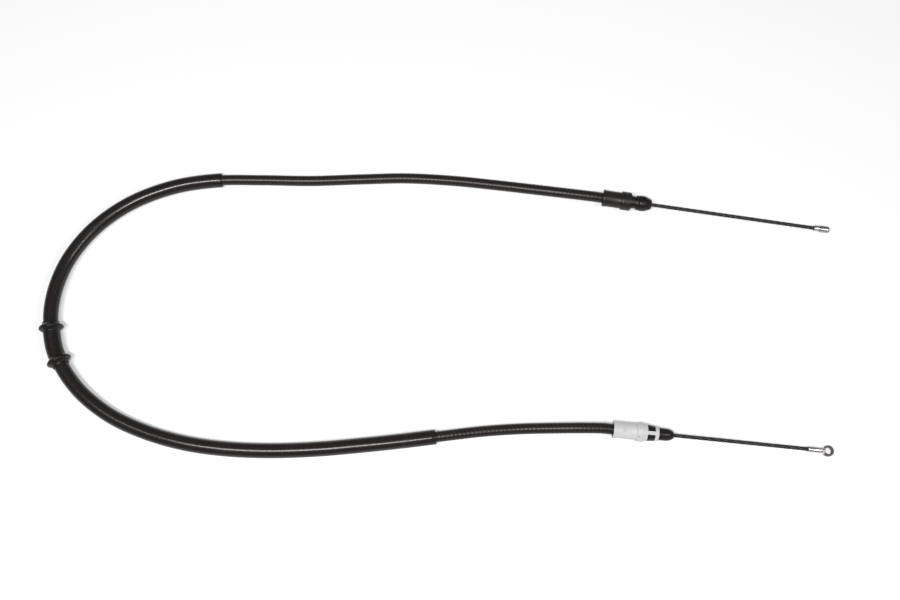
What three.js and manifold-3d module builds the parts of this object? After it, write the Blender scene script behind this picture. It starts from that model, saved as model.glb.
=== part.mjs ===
// Parking brake cable: a steel wire that slides in a long flexible casing.
// The casing ends in two moulded fittings, a black one at the lever and a grey one at the brake.
// Millimetres, +Z up. The cable lies on the plane z = 0 and the origin is at its bottom centre.
import * as THREE from 'three';
import { mergeVertices } from 'three/addons/utils/BufferGeometryUtils.js';
import Module from 'manifold-3d';

const wasm = await Module();
wasm.setup();

// Clearances
const GAP = 0.3; // between pieces that touch
const REST = 0.05; // between a resting piece and the floor
const WIRE_PLAY = 0.4; // around the wire in its liner
const SLEEVE_PLAY = 0.55; // between the casing and its sleeve

// Inner wire
const WIRE_RADIUS = 1.7;
const STROKE = 25; // how far the wire slides when the brake is pulled
const FRONT_WIRE_SHOWN = 151.5; // from the front boot to the nipple
const REAR_WIRE_SHOWN = 118.8; // from the rear boot to the eye terminal
const SPLIT_DEPTH = 2; // where the wire's middle length ends, inside each fitting

// Casing, from the inside out
const LINER_WALL = 0.5;
const COIL_WALL = 0.8;
const JACKET_WALL = 0.8;
const SLEEVE_WALL = 1.25;
const CASING_ENTRY = 18.5; // how deep the casing sits in each fitting

// Sleeve and guide bush, measured along the casing from the front fitting
const SLEEVE_START = 356;
const SLEEVE_LENGTH = 624.6;
const BUSH_CENTRE = 603;
const BUSH_WALL = 0.6;
const FLANGE_SPACING = 32;
const FLANGE_BASE = 7.2;
const FLANGE_HEIGHT = 3.3;
const BUSH_LIP = 1.5; // how far the bush runs on past each flange

// End fittings, what both have in common
const BODY_RADIUS = 7.4;
const BEAD_LENGTH = 2.2;
const BEAD_HEIGHT = 0.35;
const COLLAR_HEIGHT = 1.1;
const CHAMFER = 0.3;
const BRIDGE_WIDTH = 3.2; // of the two ribs between the windows
const FERRULE_WALL = 0.9;
const FERRULE_END = 1.2;
const FERRULE_INSET = 0.8; // from the fitting's rear face
const GUIDE_WALL = 1.5;
const GUIDE_FLANGE = 1.5;
const GUIDE_REACH = 2.5; // past the fitting, into the boot
const STEM_WALL = 0.95; // of the boot around the guide
const LIP_LENGTH = 3.5;

// The black fitting at the lever. Lengths run from its rear face outwards.
const FRONT = {
  x: 150.5, y: 107.3, heading: -8.1, dip: 1.5,
  roll: 15, // of the windows and the boot around the axis
  body: 16.7, collar: 8.6, neck: 1, cage: 4.6, rim: 1.6,
  neckRadius: 6.95, cageRadius: 6.75, cageTaper: 0.1, rimRadius: 6.8,
  lugRecess: 1,
  // Outline of the boot's nose: distance from the fitting, radius
  nose: [[0, 6.3], [0.5, 6.9], [1.5, 7.1], [5.4, 7.1], [6.2, 6.8], [10.8, 5], [12, 4.2], [12.4, 3.2]],
};

// The grey fitting at the brake
const REAR = {
  x: 151.2, y: -107.9, heading: -5.5, dip: 2.13,
  roll: 7.5,
  body: 20.3, collar: 5.5, neck: 3.8, cage: 6.9, rim: 3.25,
  neckRadius: 7.7, cageRadius: 7.3, cageTaper: 0.65, rimRadius: 6.35,
  lugRecess: 0.05,
  nose: [[0, 5.2], [0.4, 5.5], [7.2, 5.5], [9.8, 4.9], [12, 3.9], [13, 3.1], [13.35, 2.6]],
};

// Barrel nipple on the front wire
const NIPPLE_COLLAR_RADIUS = 2.9;
const NIPPLE_COLLAR_LENGTH = 4.8;
const NIPPLE_GROOVE_RADIUS = 2.5;
const NIPPLE_GROOVE_LENGTH = 0.6;
const NIPPLE_RADIUS = 3.15;
const NIPPLE_LENGTH = 8.9;
const NIPPLE_DOME = 1.6;
const NIPPLE_BORE_DEPTH = 11.5;

// Eye terminal on the rear wire
const TERMINAL_RADIUS = 2.65;
const TERMINAL_LENGTH = 12.6;
const TERMINAL_NECK_RADIUS = 2.1;
const TERMINAL_NECK_LENGTH = 1.3;
const TERMINAL_BORE_DEPTH = 11;
const EYE_RADIUS = 4.75;
const EYE_HOLE_RADIUS = 3;
const EYE_THICKNESS = 3.6;
const EYE_CHAMFER = 0.35;

// Fineness of the faceted surfaces
const LAYER_SIDES = 8;
const SKIN_SIDES = 12;
const TURNED_SIDES = 24;
const TUBE_STEP = 26; // longest step along the casing
const BUSH_STEP = 8; // longest step inside the bush

// Radii that follow
const linerBore = WIRE_RADIUS + WIRE_PLAY;
const linerRadius = linerBore + LINER_WALL;
const coilBore = linerRadius + GAP;
const coilRadius = coilBore + COIL_WALL;
const jacketBore = coilRadius + GAP;
const jacketRadius = jacketBore + JACKET_WALL;
const sleeveBore = jacketRadius + SLEEVE_PLAY;
const sleeveRadius = sleeveBore + SLEEVE_WALL;
const bushBore = sleeveRadius + GAP;
const bushRadius = bushBore + BUSH_WALL;
const flangeRadius = bushRadius + FLANGE_HEIGHT;
const wireFit = WIRE_RADIUS + GAP;
const ferruleBore = jacketRadius + GAP;
const ferruleRadius = ferruleBore + FERRULE_WALL;
const pocketRadius = ferruleRadius + GAP;
const guideRadius = linerBore + GUIDE_WALL;
const guideFit = guideRadius + GAP;
const stemRadius = guideFit + STEM_WALL;
const cavityRadius = stemRadius + GAP;
const collarRadius = BODY_RADIUS + COLLAR_HEIGHT;

// Places along a fitting that are the same in both
const ferruleFront = CASING_ENTRY + GAP + FERRULE_END;
const guideRear = ferruleFront + GAP;
const pocketDepth = guideRear + GUIDE_FLANGE + GAP;

/** Works out where a fitting's parts begin and end, and stands its axis on the floor by the collar. */
function layOut(fitting) {
  const collarFront = fitting.body + fitting.collar;
  const neckFront = collarFront + fitting.neck;
  const cageFront = neckFront + fitting.cage;
  const rimFront = cageFront + fitting.rim;
  const noseRear = rimFront + GAP;
  const tip = noseRear + fitting.nose.at(-1)[0];
  const heading = THREE.MathUtils.degToRad(fitting.heading);
  const dip = THREE.MathUtils.degToRad(fitting.dip);
  const height = REST + collarRadius * Math.cos(dip) + collarFront * Math.sin(dip);
  const frame = new THREE.Group();
  frame.position.set(fitting.x, fitting.y, height);
  frame.rotation.set(0, dip, heading, 'ZYX');
  frame.updateMatrixWorld();
  const at = (distance) => new THREE.Vector3(distance, 0, 0).applyMatrix4(frame.matrixWorld);
  const roll = THREE.MathUtils.degToRad(fitting.roll);
  return { ...fitting, collarFront, neckFront, cageFront, rimFront, noseRear, tip, roll, frame, at };
}

const front = layOut(FRONT);
const rear = layOut(REAR);

// The route of the casing's centre line. Heights are those of what it rests on.
const casingLie = jacketRadius + 3 * REST;
const sleeveLie = sleeveRadius + REST;
const bushLie = flangeRadius + REST;
const STRAIGHT_RUN = 9; // how far the casing stays straight behind each fitting
const ROUTE = [
  front.at(CASING_ENTRY),
  front.at(0),
  front.at(-STRAIGHT_RUN),
  new THREE.Vector3(116.9, 112, casingLie + 3.8),
  new THREE.Vector3(87.9, 116.5, casingLie + 1.6),
  new THREE.Vector3(50.9, 121.6, casingLie),
  new THREE.Vector3(12.9, 125.7, casingLie),
  new THREE.Vector3(-32.1, 128.3, casingLie),
  new THREE.Vector3(-77.1, 127.2, casingLie),
  new THREE.Vector3(-122.1, 125.7, casingLie),
  new THREE.Vector3(-167.1, 126.2, casingLie + 0.7),
  new THREE.Vector3(-210.1, 125.3, sleeveLie + 0.15),
  new THREE.Vector3(-250.1, 118.6, sleeveLie),
  new THREE.Vector3(-288.1, 102.8, sleeveLie),
  new THREE.Vector3(-318.1, 79.4, sleeveLie + 0.4),
  new THREE.Vector3(-338.6, 50.4, sleeveLie + 1.7),
  new THREE.Vector3(-348.1, 22, sleeveLie + 3.5),
  new THREE.Vector3(-350.4, -3, bushLie - 0.2),
  new THREE.Vector3(-347.9, -21, bushLie),
  new THREE.Vector3(-343.8, -36.5, bushLie),
  new THREE.Vector3(-336.9, -50.5, bushLie),
  new THREE.Vector3(-326.8, -65, bushLie - 0.6),
  new THREE.Vector3(-313.1, -79.2, sleeveLie + 3.1),
  new THREE.Vector3(-289.6, -96.1, sleeveLie + 1.3),
  new THREE.Vector3(-260.1, -109.4, sleeveLie),
  new THREE.Vector3(-226.1, -119.2, sleeveLie),
  new THREE.Vector3(-190.1, -124.5, sleeveLie),
  new THREE.Vector3(-151.1, -126.3, sleeveLie),
  new THREE.Vector3(-109.1, -125, sleeveLie),
  new THREE.Vector3(-66.1, -121.3, sleeveLie),
  new THREE.Vector3(-28.1, -117.2, sleeveLie),
  new THREE.Vector3(1.9, -113.5, sleeveLie),
  new THREE.Vector3(37.9, -109.2, casingLie + 0.7),
  new THREE.Vector3(69.9, -107, casingLie + 0.2),
  new THREE.Vector3(93.9, -106.6, casingLie + 1.6),
  new THREE.Vector3(122.9, -106.7, casingLie + 4.4),
  rear.at(-STRAIGHT_RUN),
  rear.at(0),
  rear.at(CASING_ENTRY),
];

const route = new THREE.CatmullRomCurve3(ROUTE, false, 'centripetal');
route.arcLengthDivisions = 4000;
const routeLength = route.getLength();

// Stations: the distances along the route at which every layer of the casing bends.
const sleeveFrom = CASING_ENTRY + SLEEVE_START;
const sleeveTo = sleeveFrom + SLEEVE_LENGTH;
const bushLength = FLANGE_SPACING + FLANGE_BASE + 2 * BUSH_LIP;
const bushFrom = CASING_ENTRY + BUSH_CENTRE - bushLength / 2;
const bushTo = bushFrom + bushLength;
const midWireFrom = CASING_ENTRY - SPLIT_DEPTH;
const midWireTo = routeLength - midWireFrom;
const marks = [0, midWireFrom, CASING_ENTRY, sleeveFrom, bushFrom, bushTo, sleeveTo,
  routeLength - CASING_ENTRY, midWireTo, routeLength];
const stations = [0];
for (let i = 1; i < marks.length; i += 1) {
  const span = marks[i] - marks[i - 1];
  const steps = Math.ceil(span / (marks[i] === bushTo ? BUSH_STEP : TUBE_STEP));
  for (let k = 1; k <= steps; k += 1) stations.push(marks[i - 1] + (span * k) / steps);
}

/** The part of the route between two distances, bending only at the stations. */
class Stretch extends THREE.Curve {
  constructor(from, to) {
    super();
    this.distances = stations.filter((distance) => distance > from - 1e-6 && distance < to + 1e-6);
    this.steps = this.distances.length - 1;
  }

  along(u) {
    return this.distances[Math.round(u * this.steps)] / routeLength;
  }

  getPointAt(u) {
    return route.getPointAt(this.along(u));
  }

  getTangentAt(u) {
    return route.getTangentAt(this.along(u));
  }
}

/** A regular polygon as a path, for the section of a tube. */
function polygon(Type, radius, sides) {
  const corners = [];
  for (let i = 0; i < sides; i += 1) {
    const angle = (2 * Math.PI * i) / sides;
    corners.push(new THREE.Vector2(radius * Math.cos(angle), radius * Math.sin(angle)));
  }
  return new Type(corners);
}

/** A tube or, with no bore, a rod along a stretch of the route. */
function tubeAlong(from, to, radius, sides, bore = 0, boreSides = sides) {
  const section = polygon(THREE.Shape, radius, sides);
  if (bore > 0) section.holes.push(polygon(THREE.Path, bore, boreSides));
  const path = new Stretch(from, to);
  return new THREE.ExtrudeGeometry(section, { steps: path.steps, extrudePath: path });
}

/** A turned solid around the X axis, from an outline of [distance, radius] that closes on itself. */
function turned(outline) {
  const points = outline.map(([distance, radius]) => new THREE.Vector2(radius, distance));
  if (outline[0][1] > 0) points.push(points[0].clone());
  return new THREE.LatheGeometry(points, TURNED_SIDES).rotateZ(-Math.PI / 2);
}

/** A geometry as a solid that can be cut and joined. */
function solid(geometry) {
  const bare = geometry.clone();
  bare.deleteAttribute('normal');
  bare.deleteAttribute('uv');
  const merged = mergeVertices(bare, 1e-4);
  return new wasm.Manifold(new wasm.Mesh({
    numProp: 3,
    vertProperties: new Float32Array(merged.attributes.position.array),
    triVerts: new Uint32Array(merged.index.array),
  }));
}

/** A cut or joined solid as a geometry again. */
function geometryOf(body) {
  const mesh = body.getMesh();
  const geometry = new THREE.BufferGeometry();
  geometry.setAttribute('position', new THREE.BufferAttribute(mesh.vertProperties, 3));
  geometry.setIndex(new THREE.BufferAttribute(mesh.triVerts, 1));
  geometry.computeVertexNormals();
  return geometry;
}

/** Two blocks that leave only the top and bottom bridges of a fitting's cage. */
function windowBlocks(fitting, inset) {
  const length = fitting.cage - 2 * inset;
  const width = collarRadius;
  const middle = fitting.neckFront + fitting.cage / 2;
  const aside = BRIDGE_WIDTH / 2 + inset + width / 2;
  const block = new THREE.BoxGeometry(length, width, 3 * collarRadius);
  const left = solid(block.clone().translate(middle, aside, 0));
  const right = solid(block.translate(middle, -aside, 0));
  return left.add(right);
}

/** The moulded body of a fitting: bead, barrel, collar, neck, windowed cage and rim. */
function housing(fitting) {
  const beadRadius = BODY_RADIUS + BEAD_HEIGHT;
  const outline = [
    [0, beadRadius - CHAMFER],
    [CHAMFER, beadRadius],
    [BEAD_LENGTH, beadRadius],
    [BEAD_LENGTH + BEAD_HEIGHT, BODY_RADIUS],
    [fitting.body, BODY_RADIUS],
    [fitting.body, collarRadius - CHAMFER],
    [fitting.body + CHAMFER, collarRadius],
    [fitting.collarFront - CHAMFER, collarRadius],
    [fitting.collarFront, collarRadius - CHAMFER],
    [fitting.collarFront, fitting.neckRadius],
    [fitting.neckFront, fitting.neckRadius],
    [fitting.neckFront, fitting.cageRadius],
    [fitting.cageFront, fitting.cageRadius - fitting.cageTaper],
    [fitting.cageFront, fitting.rimRadius],
    [fitting.rimFront - CHAMFER, fitting.rimRadius],
    [fitting.rimFront, fitting.rimRadius - CHAMFER],
    [fitting.rimFront, cavityRadius],
    [fitting.neckFront, cavityRadius],
    [fitting.neckFront, guideFit],
    [pocketDepth, guideFit],
    [pocketDepth, pocketRadius],
    [0, pocketRadius],
  ];
  return geometryOf(solid(turned(outline)).subtract(windowBlocks(fitting, 0))).rotateX(fitting.roll);
}

/** The steel cup pressed on the casing's end. */
function ferrule() {
  return turned([
    [FERRULE_INSET, ferruleBore],
    [FERRULE_INSET, ferruleRadius],
    [ferruleFront, ferruleRadius],
    [ferruleFront, linerBore],
    [ferruleFront - FERRULE_END, linerBore],
    [ferruleFront - FERRULE_END, ferruleBore],
  ]);
}

/** The flanged tube that leads the wire out of the casing and carries the boot. */
function guide(fitting) {
  const reach = fitting.rimFront + GUIDE_REACH;
  return turned([
    [guideRear, linerBore],
    [guideRear, pocketRadius - GAP],
    [guideRear + GUIDE_FLANGE, pocketRadius - GAP],
    [guideRear + GUIDE_FLANGE, guideRadius],
    [reach, guideRadius],
    [reach, linerBore],
  ]);
}

/** The rubber boot: a stem in the fitting, two lugs that fill its windows, and a nose with a wiping lip. */
function boot(fitting) {
  const stemRear = fitting.neckFront + GAP;
  const lipRear = fitting.tip - LIP_LENGTH;
  const outline = [
    [stemRear, guideFit],
    [stemRear, stemRadius],
    [fitting.noseRear, stemRadius],
    ...fitting.nose.map(([distance, radius]) => [fitting.noseRear + distance, radius]),
    [fitting.tip, wireFit],
    [lipRear, wireFit],
    [lipRear - (guideFit - wireFit), guideFit],
  ];
  const slope = fitting.cageTaper / fitting.cage;
  const lugRadius = fitting.cageRadius - fitting.lugRecess;
  const ring = turned([
    [fitting.neckFront + GAP, guideFit + GAP],
    [fitting.neckFront + GAP, lugRadius - slope * GAP],
    [fitting.cageFront - GAP, lugRadius - slope * (fitting.cage - GAP)],
    [fitting.cageFront - GAP, guideFit + GAP],
  ]);
  const lugs = solid(ring).intersect(windowBlocks(fitting, GAP));
  return geometryOf(solid(turned(outline)).add(lugs)).rotateX(fitting.roll);
}

/** The turned nipple: a crimped collar, a groove and a domed barrel, with a blind bore for the wire. */
function nipple(start) {
  const barrel = NIPPLE_COLLAR_LENGTH + NIPPLE_GROOVE_LENGTH;
  const end = barrel + NIPPLE_LENGTH;
  const outline = [
    [NIPPLE_BORE_DEPTH, 0],
    [NIPPLE_BORE_DEPTH, wireFit],
    [0, wireFit],
    [0, NIPPLE_COLLAR_RADIUS],
    [NIPPLE_COLLAR_LENGTH, NIPPLE_COLLAR_RADIUS],
    [NIPPLE_COLLAR_LENGTH, NIPPLE_GROOVE_RADIUS],
    [barrel, NIPPLE_GROOVE_RADIUS],
    [barrel, NIPPLE_RADIUS - CHAMFER],
    [barrel + CHAMFER, NIPPLE_RADIUS],
    [end - NIPPLE_DOME, NIPPLE_RADIUS],
    [end - NIPPLE_DOME / 2, 0.85 * NIPPLE_RADIUS],
    [end, 0.45 * NIPPLE_RADIUS],
    [end, 0],
  ];
  return turned(outline).translate(start, 0, 0);
}

/** The crimped terminal: a ferrule on the wire, a short neck and a flat eye whose hole stands upright. */
function eyeTerminal(start) {
  const neckFront = TERMINAL_LENGTH + TERMINAL_NECK_LENGTH;
  const centre = neckFront + (EYE_RADIUS + EYE_HOLE_RADIUS) / 2;
  const shank = turned([
    [TERMINAL_BORE_DEPTH, 0],
    [TERMINAL_BORE_DEPTH, wireFit],
    [0, wireFit],
    [0, TERMINAL_RADIUS - CHAMFER],
    [CHAMFER, TERMINAL_RADIUS],
    [TERMINAL_LENGTH - CHAMFER, TERMINAL_RADIUS],
    [TERMINAL_LENGTH + CHAMFER, TERMINAL_NECK_RADIUS],
    [neckFront + (EYE_RADIUS - EYE_HOLE_RADIUS) / 2, TERMINAL_NECK_RADIUS],
    [neckFront + (EYE_RADIUS - EYE_HOLE_RADIUS) / 2, 0],
  ]);
  const half = EYE_THICKNESS / 2;
  const ring = new THREE.LatheGeometry([
    [EYE_HOLE_RADIUS, -half + EYE_CHAMFER],
    [EYE_HOLE_RADIUS + EYE_CHAMFER, -half],
    [EYE_RADIUS - EYE_CHAMFER, -half],
    [EYE_RADIUS, -half + EYE_CHAMFER],
    [EYE_RADIUS, half - EYE_CHAMFER],
    [EYE_RADIUS - EYE_CHAMFER, half],
    [EYE_HOLE_RADIUS + EYE_CHAMFER, half],
    [EYE_HOLE_RADIUS, half - EYE_CHAMFER],
    [EYE_HOLE_RADIUS, -half + EYE_CHAMFER],
  ].map(([radius, height]) => new THREE.Vector2(radius, height)), TURNED_SIDES);
  ring.rotateX(Math.PI / 2).translate(centre, 0, 0);
  return geometryOf(solid(shank).add(solid(ring))).translate(start, 0, 0);
}

/** The rubber spool on the sleeve: a band between two rounded flanges, bent as the sleeve bends there. */
function guideBush() {
  const path = new Stretch(bushFrom, bushTo);
  const rings = path.distances.map((distance) => distance - bushFrom);
  const flange = (start) => [
    [start, bushRadius],
    [start + 0.3 * FLANGE_BASE, flangeRadius - 0.2 * FLANGE_HEIGHT],
    [start + 0.42 * FLANGE_BASE, flangeRadius],
    [start + 0.58 * FLANGE_BASE, flangeRadius],
    [start + 0.7 * FLANGE_BASE, flangeRadius - 0.2 * FLANGE_HEIGHT],
    [start + FLANGE_BASE, bushRadius],
  ];
  const bandFrom = BUSH_LIP + FLANGE_BASE;
  const bandTo = bushLength - bandFrom;
  const outline = [
    [0, bushRadius - CHAMFER],
    [CHAMFER, bushRadius],
    ...flange(BUSH_LIP),
    ...rings.filter((at) => at > bandFrom + CHAMFER && at < bandTo - CHAMFER).map((at) => [at, bushRadius]),
    ...flange(bandTo),
    [bushLength - CHAMFER, bushRadius],
    [bushLength, bushRadius - CHAMFER],
    ...rings.toReversed().map((at) => [at, bushBore]),
  ];
  const geometry = turned(outline);
  const frames = path.computeFrenetFrames(path.steps, false);
  const centres = path.getSpacedPoints(path.steps);
  const corner = geometry.attributes.position;
  for (let i = 0; i < corner.count; i += 1) {
    const at = THREE.MathUtils.clamp(corner.getX(i), 0, bushLength);
    const next = Math.max(1, rings.findIndex((ring) => ring > at - 1e-6));
    const share = (at - rings[next - 1]) / (rings[next] - rings[next - 1]);
    const point = centres[next - 1].clone().lerp(centres[next], share);
    const normal = frames.normals[next - 1].clone().lerp(frames.normals[next], share);
    const binormal = frames.binormals[next - 1].clone().lerp(frames.binormals[next], share);
    point.addScaledVector(normal, corner.getY(i)).addScaledVector(binormal, corner.getZ(i));
    corner.setXYZ(i, point.x, point.y, point.z);
  }
  geometry.computeVertexNormals();
  return geometry;
}

/** A straight length of the wire along a fitting's axis. */
function straightWire(from, to) {
  const geometry = new THREE.CylinderGeometry(WIRE_RADIUS, WIRE_RADIUS, to - from, LAYER_SIDES);
  return geometry.rotateZ(-Math.PI / 2).translate((from + to) / 2, 0, 0);
}

// Finishes
const finish = (color, roughness, metalness) => new THREE.MeshStandardMaterial({ color, roughness, metalness });
const ribbedPlastic = finish(0x262423, 0.5, 0);
const smoothRubber = finish(0x211f1e, 0.38, 0);
const bootRubber = finish(0x161616, 0.5, 0);
const blackPlastic = finish(0x2a2827, 0.45, 0);
const greyPlastic = finish(0xc9caca, 0.5, 0);
const paleNylon = finish(0xe4e0d4, 0.5, 0);
const coatedRope = finish(0x2b2a2b, 0.45, 0.4);
const plainSteel = finish(0x8d8f90, 0.4, 1);
const zincPlate = finish(0xc4c5c3, 0.3, 1);

/** Names a geometry and its finish, and puts it into a group. */
function place(group, name, geometry, material) {
  const mesh = new THREE.Mesh(geometry, material);
  mesh.name = name;
  group.add(mesh);
}

const nippleAt = front.tip + FRONT_WIRE_SHOWN;
const terminalAt = rear.tip + REAR_WIRE_SHOWN;

const cable = new THREE.Group();
cable.add(front.frame, rear.frame);

place(cable, 'casing_liner',
  tubeAlong(0, routeLength, linerRadius, LAYER_SIDES, linerBore), paleNylon);
place(cable, 'casing_coil',
  tubeAlong(0, routeLength, coilRadius, LAYER_SIDES, coilBore), plainSteel);
place(cable, 'casing_jacket',
  tubeAlong(0, routeLength, jacketRadius, SKIN_SIDES, jacketBore, LAYER_SIDES), ribbedPlastic);
place(cable, 'protective_sleeve',
  tubeAlong(sleeveFrom, sleeveTo, sleeveRadius, SKIN_SIDES, sleeveBore), smoothRubber);
place(cable, 'guide_bush', guideBush(), bootRubber);
place(cable, 'inner_wire_middle', tubeAlong(midWireFrom, midWireTo, WIRE_RADIUS, LAYER_SIDES), coatedRope);

place(front.frame, 'front_housing', housing(front), blackPlastic);
place(front.frame, 'front_ferrule', ferrule(), plainSteel);
place(front.frame, 'front_wire_guide', guide(front), paleNylon);
place(front.frame, 'front_boot', boot(front), bootRubber);
place(front.frame, 'inner_wire_front',
  straightWire(SPLIT_DEPTH + GAP, nippleAt + NIPPLE_BORE_DEPTH - GAP), coatedRope);
place(front.frame, 'barrel_nipple', nipple(nippleAt), zincPlate);

place(rear.frame, 'rear_housing', housing(rear), greyPlastic);
place(rear.frame, 'rear_ferrule', ferrule(), plainSteel);
place(rear.frame, 'rear_wire_guide', guide(rear), paleNylon);
place(rear.frame, 'rear_boot', boot(rear), bootRubber);
place(rear.frame, 'inner_wire_rear',
  straightWire(SPLIT_DEPTH + STROKE + 2 * GAP, terminalAt + TERMINAL_BORE_DEPTH - GAP), coatedRope);
place(rear.frame, 'eye_terminal', eyeTerminal(terminalAt), zincPlate);

export default cable;
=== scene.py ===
# %% [markdown]
# # A parking brake cable, dressed in Blender
# The CAD model gives the sizes, the places and the moving bodies. This lesson builds the surfaces
# that a photograph of the cable shows: a ringed casing, a smooth sleeve, moulded fittings and
# twisted wire. Everything is modelled straight along the X axis in millimetres first, and then
# carried to its place, because a straight piece is easy to turn on a lathe and easy to check.
# %% Load the frame
import math

import bmesh
import bpy
from mathutils import Matrix, Vector


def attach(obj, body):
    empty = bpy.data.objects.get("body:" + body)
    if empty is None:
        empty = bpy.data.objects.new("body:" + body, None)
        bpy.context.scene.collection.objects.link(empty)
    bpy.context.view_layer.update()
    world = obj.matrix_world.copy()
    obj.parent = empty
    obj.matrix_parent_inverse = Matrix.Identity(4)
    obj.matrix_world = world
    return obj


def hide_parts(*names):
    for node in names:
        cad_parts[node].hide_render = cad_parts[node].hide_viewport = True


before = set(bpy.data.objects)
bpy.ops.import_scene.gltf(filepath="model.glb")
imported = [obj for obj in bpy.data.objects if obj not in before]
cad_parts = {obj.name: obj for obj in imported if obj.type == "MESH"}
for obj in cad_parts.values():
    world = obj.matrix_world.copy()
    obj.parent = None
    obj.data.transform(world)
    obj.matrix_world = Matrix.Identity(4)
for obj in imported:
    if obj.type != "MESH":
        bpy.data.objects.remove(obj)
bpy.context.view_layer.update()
MM = 0.001
print("nodes in the frame:", len(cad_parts))

# %% [markdown]
# ## The camera
# The cable lies on a table and is seen from almost straight above. A camera is aimed by its
# place, two angles and its lens, so it is set down as those four facts.
# %% Set the camera
lens = bpy.data.cameras.new("camera")
lens.sensor_width = 36.0
lens.lens = 43.2
lens.clip_end = 20.0
camera = bpy.data.objects.new("camera", lens)
camera.location = Vector((8.6, -243.3, 952.0)) * MM
camera.rotation_euler = (math.radians(15.0), 0.0, 0.0)
bpy.context.scene.collection.objects.link(camera)
bpy.context.scene.camera = camera
print("camera height:", round(camera.location.z, 3), "m")

# %% [markdown]
# ## The two fittings' axes
# Each end fitting is a turned part on its own axis. The axis starts at the fitting's rear face,
# heads a few degrees off X and dips a little to the floor, because the collar is thicker than
# the wire's end. A matrix keeps that place, so a piece modelled along X goes there in one step.
# %% Stand the fittings' axes
def axis_at(place, heading, dip):
    """The place of a fitting's rear face, with X turned along its axis."""
    turned = Matrix.Rotation(math.radians(heading), 4, "Z") @ Matrix.Rotation(math.radians(dip), 4, "Y")
    return Matrix.Translation(place) @ turned


front_axis = axis_at((0.1505, 0.1073, 0.009209), heading=-8.1, dip=1.5)
rear_axis = axis_at((0.1512, -0.1079, 0.009503), heading=-5.5, dip=2.13)
CASING_ENTRY = 18.5  # how deep the casing sits in each fitting
print("front axis points to", [round(c, 3) for c in front_axis.col[0][:3]])

# %% [markdown]
# ## The casing's route
# The casing lies in a loose U. These are the points of its centre line in metres, the same ones
# that the solid model follows. A centripetal Catmull-Rom curve goes through every point and
# never loops between two that are close together, which is why it suits a hand-laid cable.
# %% List the route's points
def on_axis(axis, distance):
    """A point on a fitting's axis, that many millimetres from its rear face."""
    return axis @ Vector((distance * MM, 0.0, 0.0))


ROUTE = [
    on_axis(front_axis, CASING_ENTRY), on_axis(front_axis, 0), on_axis(front_axis, -9),
    (0.1169, 0.1120, 0.00875), (0.0879, 0.1165, 0.00655), (0.0509, 0.1216, 0.00495),
    (0.0129, 0.1257, 0.00495), (-0.0321, 0.1283, 0.00495), (-0.0771, 0.1272, 0.00495),
    (-0.1221, 0.1257, 0.00495), (-0.1671, 0.1262, 0.00565), (-0.2101, 0.1253, 0.0068),
    (-0.2501, 0.1186, 0.00665), (-0.2881, 0.1028, 0.00665), (-0.3181, 0.0794, 0.00705),
    (-0.3386, 0.0504, 0.00835), (-0.3481, 0.0220, 0.01015), (-0.3504, -0.0030, 0.01065),
    (-0.3479, -0.0210, 0.01085), (-0.3438, -0.0365, 0.01085), (-0.3369, -0.0505, 0.01085),
    (-0.3268, -0.0650, 0.01025), (-0.3131, -0.0792, 0.00975), (-0.2896, -0.0961, 0.00795),
    (-0.2601, -0.1094, 0.00665), (-0.2261, -0.1192, 0.00665), (-0.1901, -0.1245, 0.00665),
    (-0.1511, -0.1263, 0.00665), (-0.1091, -0.1250, 0.00665), (-0.0661, -0.1213, 0.00665),
    (-0.0281, -0.1172, 0.00665), (0.0019, -0.1135, 0.00665), (0.0379, -0.1092, 0.00565),
    (0.0699, -0.1070, 0.00515), (0.0939, -0.1066, 0.00655), (0.1229, -0.1067, 0.00935),
    on_axis(rear_axis, -9), on_axis(rear_axis, 0), on_axis(rear_axis, CASING_ENTRY),
]
ROUTE = [Vector(point) for point in ROUTE]
print("points on the route:", len(ROUTE))


# %% Draw the curve through them
def span_between(before, start, end, after, steps):
    """Points from start towards end on a centripetal Catmull-Rom curve."""
    d0, d1, d2 = ((b - a).length ** 0.5 for a, b in ((before, start), (start, end), (end, after)))
    out = ((start - before) / d0 - (end - before) / (d0 + d1) + (end - start) / d1) * d1
    into = ((end - start) / d1 - (after - start) / (d1 + d2) + (after - end) / d2) * d1
    square, cube = -3 * start + 3 * end - 2 * out - into, 2 * start - 2 * end + out + into
    return [start + out * t + square * t * t + cube * t ** 3 for t in (i / steps for i in range(steps))]


SPAN_STEPS = 60
wide = [2 * ROUTE[0] - ROUTE[1], *ROUTE, 2 * ROUTE[-1] - ROUTE[-2]]
line = [point for i in range(len(ROUTE) - 1) for point in span_between(*wide[i:i + 4], SPAN_STEPS)]
line.append(ROUTE[-1])
reached = [0.0]
for a, b in zip(line, line[1:]):
    reached.append(reached[-1] + (b - a).length)
casing_length = reached[-1] / MM
print("casing length:", round(casing_length, 1), "mm")

# %% [markdown]
# ## Bending a straight piece along the route
# A straight tube becomes a bent one when each of its points is carried from the X axis to the
# route: X becomes the distance along it, Y goes sideways and Z goes up. The route is nearly flat,
# so the sideways direction is always square to the world's Z and the tube never twists.
# %% Carry points to the route
FEW = 1e-9


def station(distance):
    """The route's point, sideways and upward directions at a distance in millimetres."""
    goal = min(max(distance * MM, 0.0), reached[-1])
    low, high = 0, len(reached) - 1
    while high - low > 1:
        middle = (low + high) // 2
        low, high = (middle, high) if reached[middle] <= goal else (low, middle)
    share = (goal - reached[low]) / max(reached[high] - reached[low], FEW)
    ahead = (line[min(high + 1, len(line) - 1)] - line[max(low - 1, 0)]).normalized()
    aside = Vector((0.0, 0.0, 1.0)).cross(ahead).normalized()
    return line[low].lerp(line[high], share), aside, ahead.cross(aside)


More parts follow.
